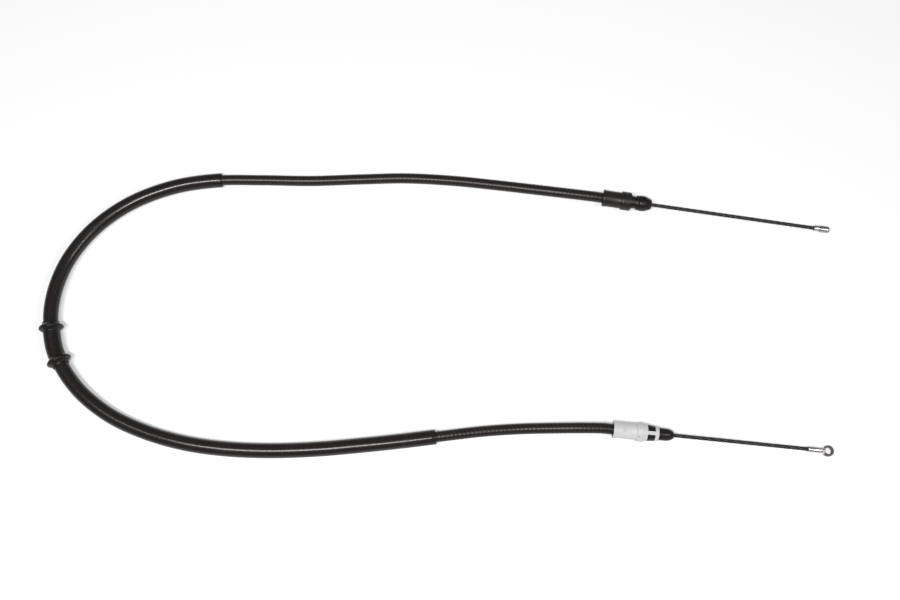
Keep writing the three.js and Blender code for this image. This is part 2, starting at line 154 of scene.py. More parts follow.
def bend_along_route(bm):
    """Moves a straight bmesh in millimetres onto the route, in metres."""
    known = {}
    for vert in bm.verts:
        key = round(vert.co.x, 4)
        if key not in known:
            known[key] = station(key)
        centre, aside, up = known[key]
        vert.co = centre + (aside * vert.co.y + up * vert.co.z) * MM


print("halfway along:", [round(c, 3) for c in station(casing_length / 2)[0]])

# %% [markdown]
# ## A lathe
# Nearly every piece here is round, so one helper does most of the work: it spins an outline of
# distances and radii around the X axis. A second helper then rounds the sharp rings with a
# bevel, since no moulded or turned edge is perfectly sharp, and a rounded edge catches the light.
# %% Turn an outline into a solid
def turn(outline, sides):
    """Spins (distance, radius) points around X. The outline closes on itself or on the axis."""
    bm = bmesh.new()
    verts = [bm.verts.new((x, 0.0, radius)) for x, radius in outline]
    edges = [bm.edges.new(pair) for pair in zip(verts, verts[1:])]
    if outline[0][1] > 0:
        edges.append(bm.edges.new((verts[-1], verts[0])))
    bmesh.ops.spin(bm, geom=verts + edges, cent=(0, 0, 0), axis=(1, 0, 0), angle=math.tau,
                   steps=sides, use_merge=True)
    bmesh.ops.remove_doubles(bm, verts=bm.verts, dist=1e-5)
    bmesh.ops.recalc_face_normals(bm, faces=bm.faces)
    return bm


def round_edges(bm, width, segments=2, sharper_than=24.0):
    """Bevels every edge where two faces meet more sharply than an angle in degrees."""
    sharp = [edge for edge in bm.edges
             if len(edge.link_faces) == 2 and edge.calc_face_angle(0) > math.radians(sharper_than)]
    bmesh.ops.bevel(bm, geom=sharp, offset=width, offset_type="OFFSET", segments=segments,
                    profile=0.5, affect="EDGES", clamp_overlap=True, material=-1)
    return bm


print("the lathe is ready")

# %% [markdown]
# ## Cutting and joining
# Windows and dents are cut with an exact Boolean modifier, whose result is kept as a plain mesh.
# It works on objects, so a bmesh is made into one for a moment.
# %% Cut one shape with another
def spare_object(name, bm):
    """A passing object around a bmesh, which is freed."""
    mesh = bpy.data.meshes.new(name)
    bm.to_mesh(mesh)
    bm.free()
    shape = bpy.data.objects.new(name, mesh)
    bpy.context.scene.collection.objects.link(shape)
    return shape


def combine(bm, other, operation):
    """The bmesh with the other one taken away, added or kept in common."""
    body, tool = spare_object("body", bm), spare_object("tool", other)
    cut = body.modifiers.new("cut", "BOOLEAN")
    cut.operation, cut.solver, cut.object = operation, "EXACT", tool
    bpy.context.view_layer.update()
    result = bpy.data.meshes.new_from_object(body.evaluated_get(bpy.context.evaluated_depsgraph_get()))
    made = bmesh.new()
    made.from_mesh(result)
    for shape in (body, tool):
        bpy.data.objects.remove(shape)
    bpy.data.meshes.remove(result)
    return made


def block(centre, size):
    """A box in millimetres."""
    bm = bmesh.new()
    sized = Matrix.Translation(centre) @ Matrix.Diagonal((*size, 1.0))
    bmesh.ops.create_cube(bm, size=1.0, matrix=sized)
    return bm


print("cutting is ready")

# %% [markdown]
# ## Finishing a piece
# A finished piece has smooth faces with crisp corners where the shape turns sharply, sits at the
# origin with its place in its mesh, hides the CAD part it stands for, and rides on a body so that it
# moves when the brake is pulled.
# %% Turn a bmesh into a finished piece
def finish_piece(name, bm, body, material, stands_for=(), crease=38.0):
    """Makes an object from a bmesh in metres, hides the CAD parts it stands for and hangs it on its body."""
    mesh = bpy.data.meshes.new(name)
    bm.to_mesh(mesh)
    bm.free()
    mesh.shade_smooth()
    mesh.set_sharp_from_angle(angle=math.radians(crease))
    mesh.materials.append(material)
    piece = bpy.data.objects.new(name, mesh)
    bpy.context.scene.collection.objects.link(piece)
    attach(piece, body)
    if stands_for:
        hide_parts(*stands_for)
    print(name, "has", len(mesh.polygons), "faces")
    return piece


def set_on(bm, axis):
    """Carries a bmesh in millimetres onto a fitting's axis, in metres."""
    bmesh.ops.transform(bm, matrix=axis @ Matrix.Diagonal((MM, MM, MM, 1.0)), verts=bm.verts)
    return bm


print("pieces can be finished")

# %% [markdown]
# ## Writing shader maths as expressions
# A finish is a small calculation over the surface. Wrapping a socket in a class with plus, minus
# and times lets that calculation be read as one line, and each operator adds its Math node.
# %% Wrap a socket
class Wire:
    """One output of a node, which can be reckoned with."""

    def __init__(self, paint, socket):
        self.paint, self.socket = paint, socket

    def reckon(self, operation, first, second):
        return self.paint.node("ShaderNodeMath", {"operation": operation}, {0: first, 1: second})

    def __add__(self, other):
        return self.reckon("ADD", self, other)

    def __sub__(self, other):
        return self.reckon("SUBTRACT", self, other)

    def __rsub__(self, other):
        return self.reckon("SUBTRACT", other, self)

    def __mul__(self, other):
        return self.reckon("MULTIPLY", self, other)

    __radd__, __rmul__ = __add__, __mul__


class Paint:
    """A material and the nodes that are added to it."""

    def __init__(self, name):
        self.material = bpy.data.materials.new(name)
        self.material.use_nodes = True
        self.tree = self.material.node_tree
        self.shader = self.tree.nodes["Principled BSDF"]

    def node(self, kind, settings, inputs, output=0):
        made = self.tree.nodes.new(kind)
        for setting, value in settings.items():
            if setting == "stops":
                for stop, (place, shade) in zip(made.color_ramp.elements, value):
                    stop.position, stop.color = place, (shade, shade, shade, 1.0)
            else:
                setattr(made, setting, value)
        for socket, value in inputs.items():
            self.join(value, made.inputs[socket])
        return Wire(self, made.outputs[output])

    def join(self, value, socket):
        if isinstance(value, Wire):
            self.tree.links.new(value.socket, socket)
        else:
            socket.default_value = value

    def feed(self, **sockets):
        for name, value in sockets.items():
            self.join(value, self.shader.inputs[name.replace("_", " ")])
        return self.material


print("paints can be mixed")


# %% Patterns that the paints share
def place(paint, stretch=(1.0, 1.0, 1.0)):
    """Object coordinates, scaled by a number along each axis."""
    spot = paint.node("ShaderNodeTexCoord", {}, {}, "Object")
    return paint.node("ShaderNodeMapping", {}, {"Vector": spot, "Scale": stretch})


def speckle(paint, spot, size, detail=2.0):
    """Soft noise around 0.5 with grains of about that size in millimetres."""
    grains = {"Vector": spot, "Scale": 1.0 / (size * MM), "Detail": detail}
    return paint.node("ShaderNodeTexNoise", {}, grains, "Fac")


def written(paint, name):
    """A value that the mesh holds at its points."""
    return paint.node("ShaderNodeAttribute", {"attribute_name": name}, {}, "Fac")


def blend(paint, share, dark, light):
    """A colour between two, by a share from 0 to 1. The first may be another blend."""
    dark = dark if isinstance(dark, Wire) else (*dark, 1.0)
    return paint.node("ShaderNodeMix", {"data_type": "RGBA"}, {"Factor": share, 6: dark, 7: (*light, 1.0)}, 2)


def relief(paint, height, depth):
    """A bump of that depth in millimetres, for the shader's Normal."""
    bump = {"Height": height, "Strength": 1.0, "Distance": depth * MM}
    return paint.node("ShaderNodeBump", {}, bump, "Normal")


def ramp(paint, value, stops):
    """A value bent by grey stops of (place, level)."""
    return paint.node("ShaderNodeValToRGB", {"stops": stops}, {"Fac": value}, "Color")


print("patterns are ready")

# %% [markdown]
# ## The blacks
# There are four different blacks here: the casing is extruded plastic with dull dust in its
# grooves, the sleeve is a smooth hose with a hard shine, the boots and the bush are soft rubber,
# and the front housing is moulded plastic with a satin skin.
# %% Mix the blacks
def casing_plastic():
    paint = Paint("casing_plastic")
    groove = written(paint, "groove")
    cloud = speckle(paint, place(paint), 9.0)
    grain = speckle(paint, place(paint), 0.35, 3.0)
    dust = groove * 0.5 + cloud * 0.35
    return paint.feed(
        Base_Color=blend(paint, dust, (0.0125, 0.0098, 0.0094), (0.0240, 0.0190, 0.0182)),
        Roughness=groove * 0.06 + cloud * 0.12 + 0.24,
        Normal=relief(paint, grain, 0.005),
        Specular_IOR_Level=0.3)


def hose_rubber():
    paint = Paint("hose_rubber")
    cloud = speckle(paint, place(paint), 22.0)
    grain = speckle(paint, place(paint), 0.5, 3.0)
    scuff = ramp(paint, speckle(paint, place(paint), 3.0, 4.0), ((0.56, 0.0), (0.7, 1.0)))
    worn = cloud * 0.6 + scuff * 0.3
    return paint.feed(
        Base_Color=blend(paint, worn, (0.0115, 0.0090, 0.0088), (0.0215, 0.0172, 0.0166)),
        Roughness=cloud * 0.08 + scuff * 0.08 + 0.19,
        Normal=relief(paint, grain, 0.003),
        Specular_IOR_Level=0.3)


def boot_rubber():
    paint = Paint("boot_rubber")
    cloud = speckle(paint, place(paint), 5.0)
    grain = speckle(paint, place(paint), 0.25, 3.0)
    return paint.feed(
        Base_Color=blend(paint, cloud, (0.0080, 0.0060, 0.0056), (0.0150, 0.0116, 0.0110)),
        Roughness=cloud * 0.12 + 0.28,
        Normal=relief(paint, grain, 0.006),
        Specular_IOR_Level=0.27)


def housing_plastic():
    paint = Paint("housing_plastic")
    cloud = speckle(paint, place(paint), 6.0)
    grain = speckle(paint, place(paint), 0.18, 2.0)
    return paint.feed(
        Base_Color=blend(paint, cloud, (0.0115, 0.0088, 0.0084), (0.0200, 0.0158, 0.0152)),
        Roughness=cloud * 0.12 + 0.34,
        Normal=relief(paint, grain, 0.006),
        Specular_IOR_Level=0.3)


blacks = {
    "casing": casing_plastic(),
    "hose": hose_rubber(),
    "boot": boot_rubber(),
    "housing": housing_plastic(),
}
print("blacks:", ", ".join(blacks))

# %% [markdown]
# ## The greys and the metals
# The rear housing is light grey plastic, a little mottled where the melt cooled. The nipple and
# the eye terminal are zinc plated steel, bright but not a mirror: plating has a fine grain and
# small clouds. The nipple's groove, dents and end and the barrel's far side are darkened with
# painted shade, and the eye ring takes the darker colour all over. The wire's strands are dark,
# with a worn shine along their crests.
# %% Mix the greys and the metals
def grey_plastic():
    paint = Paint("grey_plastic")
    dirt_and_painted_shade = written(paint, "dirt_and_painted_shade")
    cloud = speckle(paint, place(paint), 4.0)
    grain = speckle(paint, place(paint), 0.2, 2.0)
    clean = blend(paint, cloud, (0.515, 0.503, 0.508), (0.610, 0.600, 0.604))
    # Dirt and painted shade, written on the mesh, darken the mould marks.
    return paint.feed(
        Base_Color=blend(paint, dirt_and_painted_shade, clean, (0.16, 0.15, 0.15)),
        Roughness=cloud * 0.12 + 0.38,
        Normal=relief(paint, grain, 0.01))


def nylon():
    paint = Paint("nylon")
    cloud = speckle(paint, place(paint), 6.0)
    return paint.feed(
        Base_Color=blend(paint, cloud, (0.72, 0.69, 0.60), (0.80, 0.77, 0.68)),
        Roughness=cloud * 0.1 + 0.4)


def zinc():
    paint = Paint("zinc")
    dirt_and_painted_shade = written(paint, "dirt_and_painted_shade")
    cloud = speckle(paint, place(paint), 1.6, 3.0)
    grain = speckle(paint, place(paint), 0.12, 2.0)
    clean = blend(paint, cloud, (0.60, 0.58, 0.57), (0.76, 0.74, 0.73))
    # The darker colour written on the mesh is painted shade on the nipple, and covers the eye ring.
    return paint.feed(
        Base_Color=blend(paint, dirt_and_painted_shade, clean, (0.085, 0.075, 0.070)),
        Metallic=1.0,
        Roughness=cloud * 0.08 + dirt_and_painted_shade * 0.08 + 0.28,
        Normal=relief(paint, grain, 0.004))


def plain_steel():
    paint = Paint("plain_steel")
    streak = speckle(paint, place(paint, (0.2, 1.0, 1.0)), 0.8, 3.0)
    return paint.feed(
        Base_Color=blend(paint, streak, (0.28, 0.28, 0.285), (0.42, 0.42, 0.42)),
        Metallic=1.0,
        Roughness=streak * 0.15 + 0.33)


def rope():
    paint = Paint("rope")
    crest = written(paint, "crest")
    cloud = speckle(paint, place(paint), 1.2, 3.0)
    worn = ramp(paint, crest, ((0.72, 0.0), (0.97, 1.0)))
    return paint.feed(
        Base_Color=blend(paint, worn, (0.0022, 0.0019, 0.0019), (0.1100, 0.1000, 0.0970)),
        Metallic=worn * 0.8,
        Roughness=0.55 - worn * 0.25 + cloud * 0.1,
        Normal=relief(paint, cloud, 0.01),
        Specular_IOR_Level=0.2)


brights = {
    "grey": grey_plastic(),
    "nylon": nylon(),
    "zinc": zinc(),
    "steel": plain_steel(),
    "rope": rope(),
}
print("greys and metals:", ", ".join(brights))

# %% [markdown]
# ## The casing
# The casing's jacket is a thin plastic tube over a coil of flat wire, and the coil presses
# through it as a shallow helix, one turn every 3.65 mm. It could be a bump in the material, but
# its edge would stay smooth, so the helix is cut into the mesh: a straight tube with eight rings
# to each turn is spun, and then every ring's points are drawn in where the groove passes.
# %% Turn the casing and wind its helix
JACKET_RADIUS, JACKET_BORE = 4.8, 4.0
HELIX_PITCH, HELIX_DEPTH = 3.65, 0.07
RINGS_A_TURN = 8
SLEEVE_FROM, SLEEVE_TO = CASING_ENTRY + 356.0, CASING_ENTRY + 980.6
SLEEVE_OVERLAP = 6.0  # how far the helix runs on under the sleeve
HIDDEN_STEP = 9.0  # between rings where the casing isn't seen


def stops_between(start, end, step):
    """Evenly spaced distances, both ends included."""
    count = math.ceil((end - start) / step)
    return [start + (end - start) * i / count for i in range(count + 1)]


def groove_at(distance, angle):
    """How deep the helix's groove is, from 0 on the crest to 1 at the bottom."""
    turn_share = (distance / HELIX_PITCH - angle / math.tau) % 1.0
    return (0.5 + 0.5 * math.cos(math.tau * turn_share)) ** 2


fine = HELIX_PITCH / RINGS_A_TURN
outside = stops_between(0.0, SLEEVE_FROM + SLEEVE_OVERLAP, fine)
outside += stops_between(SLEEVE_FROM + SLEEVE_OVERLAP, SLEEVE_TO - SLEEVE_OVERLAP, HIDDEN_STEP)[1:-1]
outside += stops_between(SLEEVE_TO - SLEEVE_OVERLAP, casing_length, fine)
inside = stops_between(0.0, casing_length, HIDDEN_STEP)
casing = turn([(x, JACKET_RADIUS) for x in outside] + [(x, JACKET_BORE) for x in reversed(inside)], 36)
deepness = casing.verts.layers.float.new("groove")
for vert in casing.verts:
    radius = math.hypot(vert.co.y, vert.co.z)
    if radius > (JACKET_RADIUS + JACKET_BORE) / 2:
        vert[deepness] = groove_at(vert.co.x, math.atan2(vert.co.z, vert.co.y))
        drawn = 1 - HELIX_DEPTH * vert[deepness] / radius
        vert.co.y, vert.co.z = vert.co.y * drawn, vert.co.z * drawn
bend_along_route(casing)
casing_piece = finish_piece("casing_skin", casing, "casing", blacks["casing"],
                            ["casing_jacket"], crease=60.0)

# %% [markdown]
# ## The protective sleeve
# Over the middle of the casing goes a smooth hose, cut off square at both ends. It has a real
# wall, so its open ends show their thickness around the casing.
# %% Turn the sleeve
SLEEVE_RADIUS, SLEEVE_BORE = 6.6, 5.35
around = stops_between(SLEEVE_FROM, SLEEVE_TO, 4.0)
sleeve = turn([(x, SLEEVE_RADIUS) for x in around] + [(x, SLEEVE_BORE) for x in reversed(around)], 48)
round_edges(sleeve, 0.22)
bend_along_route(sleeve)
finish_piece("sleeve_hose", sleeve, "casing", blacks["hose"], ["protective_sleeve"])

# %% [markdown]
# ## The guide bush
# A rubber spool holds the cable in a bracket: a thin lip, a flange like a rounded triangle, a
# band for the bracket, and the same again. The sharp outline is turned, and the bevel rounds it.
# %% Turn the bush
BUSH_CENTRE, BUSH_LENGTH = CASING_ENTRY + 603.0, 42.2
BAND_RADIUS, FLANGE_RADIUS, BUSH_BORE = 7.5, 10.8, 6.9
LIP, FLANGE_BASE = 1.5, 7.2
CROWN_HALF, SHOULDER_HALF, SHOULDER_DROP = 0.6, 1.5, 0.75


def flange_outline(start):
    """A flange as (distance, radius) points: foot, shoulder, crown, shoulder, foot."""
    middle = start + FLANGE_BASE / 2
    shoulder = FLANGE_RADIUS - SHOULDER_DROP
    return [(start, BAND_RADIUS),
            (middle - SHOULDER_HALF, shoulder), (middle - CROWN_HALF, FLANGE_RADIUS),
            (middle + CROWN_HALF, FLANGE_RADIUS), (middle + SHOULDER_HALF, shoulder),
            (start + FLANGE_BASE, BAND_RADIUS)]


bush_from, bush_to = BUSH_CENTRE - BUSH_LENGTH / 2, BUSH_CENTRE + BUSH_LENGTH / 2
first_flange = flange_outline(bush_from + LIP)
last_flange = flange_outline(bush_to - LIP - FLANGE_BASE)
band = stops_between(first_flange[-1][0], last_flange[0][0], 2.0)[1:-1]
bore = reversed(stops_between(bush_from, bush_to, 2.0))
bush = turn([(bush_from, BAND_RADIUS), *first_flange, *[(x, BAND_RADIUS) for x in band], *last_flange,
             (bush_to, BAND_RADIUS), *[(x, BUSH_BORE) for x in bore]], 56)
bush = round_edges(bush, 0.28, segments=3, sharper_than=18.0)
bend_along_route(bush)
finish_piece("bush_spool", bush, "casing", blacks["boot"], ["guide_bush"])

# %% [markdown]
# ## The two housings
# Both housings are turned shapes with a bead, a barrel, a collar, a neck and a cage whose two
# windows leave only two bridges. The outline is spun, its edges are rounded, the windows are cut
# through, and the whole is turned a little around its axis, as the bridges lie in the photograph.
# %% Describe a housing
POCKET_RADIUS, GUIDE_FIT, CAVITY_RADIUS = 6.3, 3.9, 5.15
POCKET_DEPTH, BRIDGE_WIDTH = 22.4, 3.2
BARREL_RADIUS, COLLAR_RADIUS, BEAD_RADIUS = 7.4, 8.5, 7.75
CUT_HEIGHT = 30.0  # taller than any housing
FRONT = {
    "body": 16.7, "collar": 8.6, "neck": 1.0, "cage": 4.6, "rim": 1.6, "neck_radius": 6.95,
    "cage_radius": 6.75, "cage_taper": 0.1, "rim_radius": 6.8, "line_depth": 0.12,
}
REAR = {
    "body": 20.3, "collar": 5.5, "neck": 3.8, "cage": 6.9, "rim": 3.25, "neck_radius": 7.7,
    "cage_radius": 7.3, "cage_taper": 0.65, "rim_radius": 6.35, "line_depth": 0.22,
}
FRONT_ROLL, REAR_ROLL = 15.0, 7.5


def cage_start(fitting):
    """How far a fitting's cage lies from its rear face."""
    return fitting["body"] + fitting["collar"] + fitting["neck"]


def housing_outline(body, collar, neck, cage, rim, neck_radius, cage_radius, cage_taper, rim_radius,
                    line_depth):
    """The outline of a housing; line_depth is that of the fine line around its collar."""
    collar_to = body + collar
    cage_from, cage_to = collar_to + neck, collar_to + neck + cage
    middle = body + 0.52 * collar
    return [
        (0, BEAD_RADIUS), (2.2, BEAD_RADIUS), (2.55, BARREL_RADIUS), (body, BARREL_RADIUS),
        (body + 0.25, COLLAR_RADIUS),
        (middle - 0.25, COLLAR_RADIUS), (middle, COLLAR_RADIUS - line_depth), (middle + 0.25, COLLAR_RADIUS),
        (collar_to, COLLAR_RADIUS), (collar_to + 0.15, neck_radius), (cage_from, neck_radius),
        (cage_from + 0.05, cage_radius), (cage_to, cage_radius - cage_taper), (cage_to + 0.05, rim_radius),
        (cage_to + rim, rim_radius), (cage_to + rim, CAVITY_RADIUS), (cage_from, CAVITY_RADIUS),
        (cage_from, GUIDE_FIT), (POCKET_DEPTH, GUIDE_FIT), (POCKET_DEPTH, POCKET_RADIUS), (0, POCKET_RADIUS)]


def window_cutters(cage_from, cage):
    """Two blocks that leave the top and bottom bridges."""
    width = 12.0
    aside = (BRIDGE_WIDTH + width) / 2
    return [block((cage_from + cage / 2, side * aside, 0), (cage, width, CUT_HEIGHT)) for side in (1, -1)]


def cut_housing(fitting, roll):
    """The turned housing with its windows cut and its bridges rolled around the axis."""
    bm = round_edges(turn(housing_outline(**fitting), 64), 0.22)
    for cutter in window_cutters(cage_start(fitting), fitting["cage"]):
        bm = combine(bm, cutter, "DIFFERENCE")
    bmesh.ops.rotate(bm, verts=bm.verts, matrix=Matrix.Rotation(math.radians(roll), 3, "X"))
    return bm


print("a housing is described")


# %% Cut the black front housing
front_housing = cut_housing(FRONT, FRONT_ROLL)
finish_piece("front_housing_skin", set_on(front_housing, front_axis), "casing",
             blacks["housing"], ["front_housing"])

# %% [markdown]
# ## Marks of the mould
# The grey housing has a shallow round mark where a pin pushed it out of its mould, a smaller one
# on its collar, and a tiny nub where the plastic was poured. Dirt gathers in the marks, and they
# are too shallow to cast much shade, so each point of the mesh keeps a number for the dirt and
# painted shade that darken it, which the finish reads.
# %% Cut the grey rear housing and its marks
def soil_and_shade(bm, rule):
    """Gives every vertex the darkening that a rule on its place sets, which stands for dirt and for painted
    shade.
    """
    layer = bm.verts.layers.float.new("dirt_and_painted_shade")
    for vert in bm.verts:
        vert[layer] = rule(vert.co)


def pin_at(distance, radius, depth, surface, around):
    """A short upright cylinder whose lower end is depth below a surface radius, turned around X."""
    bm = bmesh.new()
    bmesh.ops.create_cone(bm, cap_ends=True, segments=20, radius1=radius, radius2=radius, depth=2.0,
                          matrix=Matrix.Translation((distance, 0, surface - depth + 1.0)))
    bmesh.ops.rotate(bm, verts=bm.verts, matrix=Matrix.Rotation(math.radians(around), 3, "X"))
    return bm


NEAR = 0.05  # how close to a mark's bottom a point belongs to it
MARKS = (  # distance, radius, depth, surface radius, angle around X, dirt and painted shade held
    (9.2, 1.9, 0.24, BARREL_RADIUS, 3.0, 0.22),
    (22.3, 0.6, 0.3, COLLAR_RADIUS, 36.0, 0.8),
)
rear_housing = cut_housing(REAR, REAR_ROLL)
for mark in MARKS:
    rear_housing = combine(rear_housing, pin_at(*mark[:5]), "DIFFERENCE")


def mark_dirt_and_shade(spot):
    """The darkening at the bottom of a mark, dirt and painted shade, and none elsewhere."""
    for distance, radius, depth, surface, around, held in MARKS:
        x, y, z = Matrix.Rotation(math.radians(-around), 3, "X") @ spot - Vector((distance, 0.0, 0.0))
        if math.hypot(x, y) < radius + NEAR and abs(z - surface + depth) < NEAR:
            return held
    return 0.0


# The marks' bottoms are darkened with dirt and with painted shade, which so shallow a mark would not cast.
soil_and_shade(rear_housing, mark_dirt_and_shade)
nub = bmesh.new()
bmesh.ops.create_uvsphere(nub, u_segments=14, v_segments=8, radius=0.55,
                          matrix=Matrix.Translation((24.6, -COLLAR_RADIUS, 0.6)))
rear_housing = combine(rear_housing, nub, "UNION")
finish_piece("rear_housing_skin", set_on(rear_housing, rear_axis), "casing",
             brights["grey"], ["rear_housing"])

# %% [markdown]
# ## The boots
# A rubber boot closes each fitting. Inside it grips the wire guide, two lugs fill the housing's
# windows and keep it from pulling out, and its nose ends in a tight lip around the wire.
# %% Turn the boots and cut their lugs
STEM_RADIUS, WIRE_FIT, BOOT_GAP = 4.85, 2.0, 0.3
LIP_LENGTH, MOUTH_LENGTH = 3.5, 5.4  # the tight lip, and where the bore has widened again


def boot_tip(fitting, nose):
    """How far a boot's tip lies from the fitting's rear face."""
    return cage_start(fitting) + fitting["cage"] + fitting["rim"] + BOOT_GAP + nose[-1][0]


def turn_boot(fitting, nose, lug_radius, lug_taper, roll):
    """A boot: stem, lugs and nose. The nose is (distance from the housing, radius) points."""
    cage_from, cage = cage_start(fitting), fitting["cage"]
    tip = boot_tip(fitting, nose)
    nose_from = tip - nose[-1][0]
    lug_from, lug_to = cage_from + BOOT_GAP, cage_from + cage - BOOT_GAP
    outline = [(lug_from, GUIDE_FIT), (lug_from, STEM_RADIUS), (nose_from, STEM_RADIUS),
               *[(nose_from + x, radius) for x, radius in nose],
               (tip, WIRE_FIT), (tip - LIP_LENGTH, WIRE_FIT), (tip - MOUTH_LENGTH, GUIDE_FIT)]
    ring = [(lug_from, GUIDE_FIT + 0.3), (lug_from, lug_radius),
            (lug_to, lug_radius - lug_taper), (lug_to, GUIDE_FIT + 0.3)]
    bridge = block((cage_from + cage / 2, 0, 0), (cage, BRIDGE_WIDTH + 2 * BOOT_GAP, CUT_HEIGHT))
    lugs = combine(round_edges(turn(ring, 64), 0.2), bridge, "DIFFERENCE")
    boot = combine(round_edges(turn(outline, 64), 0.35, segments=3, sharper_than=12.0), lugs, "UNION")
    bmesh.ops.rotate(boot, verts=boot.verts, matrix=Matrix.Rotation(math.radians(roll), 3, "X"))
    return boot


front_nose = [(0, 6.3), (0.5, 6.9), (1.5, 7.1), (5.4, 7.1), (6.2, 6.8), (10.8, 5.0), (12.0, 4.2), (12.4, 3.2)]
front_boot = turn_boot(FRONT, front_nose, 5.75, 0.1, FRONT_ROLL)
finish_piece("front_boot_skin", set_on(front_boot, front_axis), "casing",
             blacks["boot"], ["front_boot"])
rear_nose = [(0, 5.2), (0.4, 5.5), (3.6, 5.5), (7.2, 5.45), (9.8, 4.9), (12.0, 3.9), (13.0, 3.1),
             (13.35, 2.6)]
rear_boot = turn_boot(REAR, rear_nose, 7.22, 0.6, REAR_ROLL)
finish_piece("rear_boot_skin", set_on(rear_boot, rear_axis), "casing",
             blacks["boot"], ["rear_boot"])

# %% [markdown]
# ## The wire
# The wire is a rope of six strands around a seventh, under a thin coat that fills the valleys. A
# six-lobed section is extruded, divided along its length, and each ring is turned a little
# further than the last, so that the mesh's own edges run along the strands.
# %% Twist the wire
WIRE_RADIUS, STRANDS, VALLEY = 1.7, 6, 0.36
POINTS_A_STRAND, RING_STEP = 8, 1.5
END_GAP = 0.3  # between the rope's end and the bottom of its bore
NIPPLE_AT, NIPPLE_BORE = 196.7, 11.5
TERMINAL_AT, TERMINAL_BORE = 172.2, 11.0


def twisted_wire(start, end, lay):
    """A rope along X between two distances. The strands go once around in lay millimetres."""
    bm = bmesh.new()
    bmesh.ops.create_circle(bm, cap_ends=True, segments=STRANDS * POINTS_A_STRAND, radius=WIRE_RADIUS,
                            matrix=Matrix.Translation((start, 0, 0)) @ Matrix.Rotation(math.pi / 2, 4, "Y"))
    outer = list(bm.verts)
    grown = bmesh.ops.extrude_face_region(bm, geom=list(bm.faces), use_keep_orig=True)
    ends = [item for item in grown["geom"] if isinstance(item, bmesh.types.BMVert)]
    bmesh.ops.translate(bm, verts=ends, vec=(end - start, 0, 0))
    first = set(outer)
    long_edges = [edge for edge in bm.edges if (edge.verts[0] in first) != (edge.verts[1] in first)]
    bmesh.ops.subdivide_edges(bm, edges=long_edges, cuts=int((end - start) / RING_STEP),
                              use_grid_fill=True)
    crest = bm.verts.layers.float.new("crest")
    for vert in bm.verts:
        angle = math.atan2(vert.co.z, vert.co.y)
        height = abs(math.cos(angle * STRANDS / 2))
        vert[crest] = height
        radius = WIRE_RADIUS - VALLEY * (1 - height)
        angle += math.tau * (vert.co.x - start) / lay
        vert.co.y, vert.co.z = radius * math.cos(angle), radius * math.sin(angle)
    bmesh.ops.recalc_face_normals(bm, faces=bm.faces)
    return bm


front_span = (16.8, NIPPLE_AT + NIPPLE_BORE - END_GAP)
rear_span = (27.6, TERMINAL_AT + TERMINAL_BORE - END_GAP)
front_wire = finish_piece("front_wire_rope", set_on(twisted_wire(*front_span, lay=36.0), front_axis),
                          "front_wire", brights["rope"], ["inner_wire_front"], crease=80.0)
rear_wire = finish_piece("rear_wire_rope", set_on(twisted_wire(*rear_span, lay=50.0), rear_axis),
                         "rear_wire", brights["rope"], ["inner_wire_rear"], crease=80.0)

# %% [markdown]
# ## The nipple
# The nipple that hooks into the lever is turned from steel and pressed onto the wire: a collar
# with three dents of the press, a thin groove, and a barrel with a domed end.
# %% Turn the nipple
PRESSED_RADIUS, GROOVE_RADIUS, NIPPLE_RADIUS = 2.9, 2.5, 3.15
GROOVE_FROM, GROOVE_TO, DOME_FROM, DENT_AT = 4.8, 5.4, 12.7, 2.9
nipple = turn([
    (NIPPLE_BORE, 0), (NIPPLE_BORE, WIRE_FIT), (0, WIRE_FIT),
    (0, PRESSED_RADIUS), (GROOVE_FROM, PRESSED_RADIUS), (GROOVE_FROM + 0.05, GROOVE_RADIUS),
    (GROOVE_TO - 0.05, GROOVE_RADIUS), (GROOVE_TO, NIPPLE_RADIUS), (DOME_FROM, NIPPLE_RADIUS),
    (13.5, 2.75), (14.05, 1.9), (14.3, 0.9), (14.3, 0)], 56)
nipple = round_edges(nipple, 0.22, segments=3, sharper_than=16.0)
for around in (55.0, -55.0, 180.0):
    nipple = combine(nipple, pin_at(DENT_AT, 0.6, 0.35, PRESSED_RADIUS, around), "DIFFERENCE")


def nipple_painted_shade(spot):
    """Painted shade: dark in the groove, the dents and at the end, and darker along the barrel's far side."""
    if math.hypot(spot.y, spot.z) < GROOVE_RADIUS + 0.1 or spot.x > 13.4:
        return 0.85
    return 0.3 + 0.55 * max(0.0, spot.y / NIPPLE_RADIUS) if spot.x > GROOVE_TO - 0.1 else 0.0


# Painted shade on the nipple: its groove, dents, end and the barrel's far side are darkened.
soil_and_shade(nipple, nipple_painted_shade)
bmesh.ops.translate(nipple, verts=nipple.verts, vec=(NIPPLE_AT, 0, 0))
nipple_piece = finish_piece("nipple_zinc", set_on(nipple, front_axis), "front_wire",
                            brights["zinc"], ["barrel_nipple"])

# %% [markdown]
# ## The eye terminal
# The other end is a pressed terminal: a ferrule on the wire, a short neck, and a round eye. The
# eye is a ring spun around its own upright axis and joined to the shank, so that its hole is real.
# %% Turn the eye terminal
EYE_RADIUS, EYE_HOLE, EYE_HALF = 4.75, 3.0, 1.8
SHANK_RADIUS, NECK_RADIUS, NECK_TO = 2.65, 2.1, 13.9


